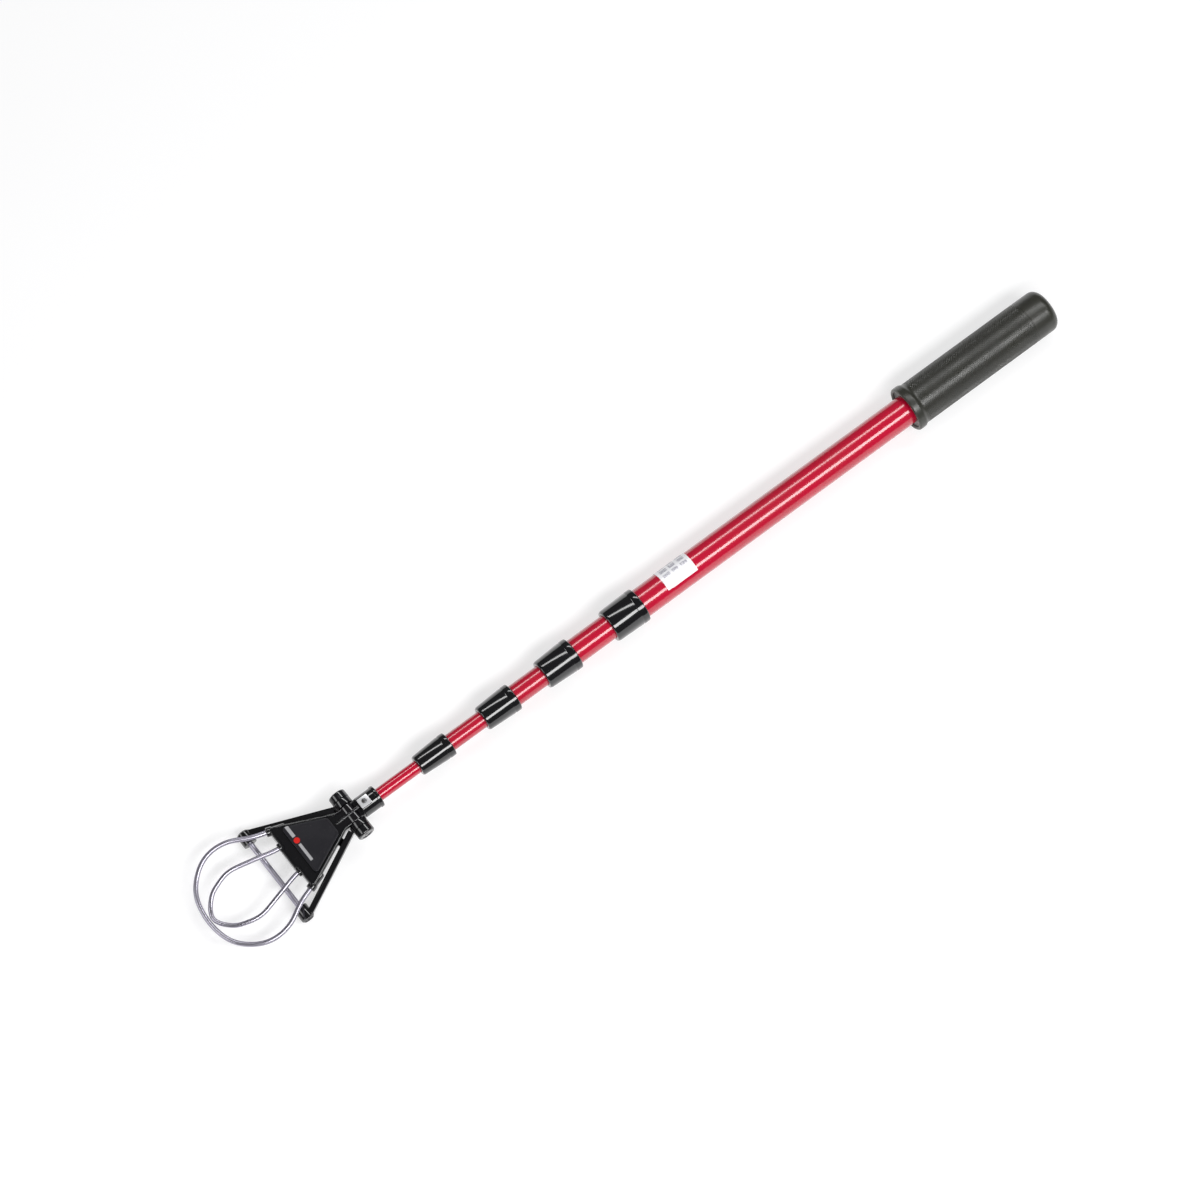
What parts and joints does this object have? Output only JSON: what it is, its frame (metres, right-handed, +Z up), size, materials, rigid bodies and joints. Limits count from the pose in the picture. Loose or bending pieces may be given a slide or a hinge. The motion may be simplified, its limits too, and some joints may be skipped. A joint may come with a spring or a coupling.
{
  "type": "telescopic ball retriever",
  "caption": "Telescopic reach tool for picking up balls: a sliding tube pole with a rubber grip and a wire-loop head whose sprung fork swings open and traps the ball.",
  "frame": {"origin": "centre of the bounding box's bottom: on the surface that the retriever lies on, half way along it", "axes": "+X along the pole from the grip to the wire head, +Z up from the surface, on the side of the head's cover panel"},
  "size_m": [0.705, 0.0762, 0.0333],
  "materials": {
    "red_tube": "gloss red anodised",
    "black_plastic": "gloss moulded",
    "charcoal_plastic": "fine satin texture",
    "grip_rubber": "moulded rubber with a fine grip pattern",
    "bright_steel": "polished bent wire",
    "spring_steel": "dull drawn wire",
    "pale_nylon": "plain nylon",
    "sticker_paper": "white printed film"
  },
  "bodies": {
    "handle": {"grip": "grip_rubber", "tube_1": "red_tube", "tube_sticker": "sticker_paper", "tube_plug": "black_plastic", "collar_1": "black_plastic", "guide_ring_1": "pale_nylon"},
    "section_2": {"tube_2": "red_tube", "end_bush_2": "pale_nylon", "collar_2": "black_plastic", "guide_ring_2": "pale_nylon"},
    "section_3": {"tube_3": "red_tube", "end_bush_3": "pale_nylon", "collar_3": "black_plastic", "guide_ring_3": "pale_nylon"},
    "section_4": {"tube_4": "red_tube", "end_bush_4": "pale_nylon", "collar_4": "black_plastic", "guide_ring_4": "pale_nylon"},
    "section_5": {"tube_5": "red_tube", "end_bush_5": "pale_nylon", "head_body": "black_plastic", "head_cover": "charcoal_plastic", "cover_screw_1": "bright_steel", "cover_screw_2": "bright_steel", "cover_screw_3": "bright_steel", "socket_clip": "bright_steel", "socket_rivet": "spring_steel", "outer_loop": "bright_steel", "inner_loop": "bright_steel", "hinge_pin": "bright_steel", "spring_cap_left": "black_plastic", "spring_cap_right": "black_plastic", "torsion_spring_left": "spring_steel", "torsion_spring_right": "spring_steel"},
    "fork": {"arm_left": "black_plastic", "arm_right": "black_plastic", "crossbar": "bright_steel", "boss_plug_left": "charcoal_plastic", "boss_plug_right": "charcoal_plastic"}
  },
  "joints": [
    {"name": "section_2_slide", "type": "slide", "parent": "handle", "child": "section_2", "axis": [1, 0, 0], "range_m": [-0.0292, 0.2744]},
    {"name": "section_3_slide", "type": "slide", "parent": "section_2", "child": "section_3", "axis": [1, 0, 0], "range_m": [-0.0234, 0.2802]},
    {"name": "section_4_slide", "type": "slide", "parent": "section_3", "child": "section_4", "axis": [1, 0, 0], "range_m": [-0.0269, 0.2767]},
    {"name": "section_5_slide", "type": "slide", "parent": "section_4", "child": "section_5", "axis": [1, 0, 0], "range_m": [-0.0322, 0.2802]},
    {"name": "fork_hinge", "type": "hinge", "parent": "section_5", "child": "fork", "pos_m": [0.23445, 0, 0.01665], "axis": [0, 1, 0], "range_deg": [0, 35], "stiffness_Nm_per_rad": 0.3, "springref_deg": -20.05}
  ]
}
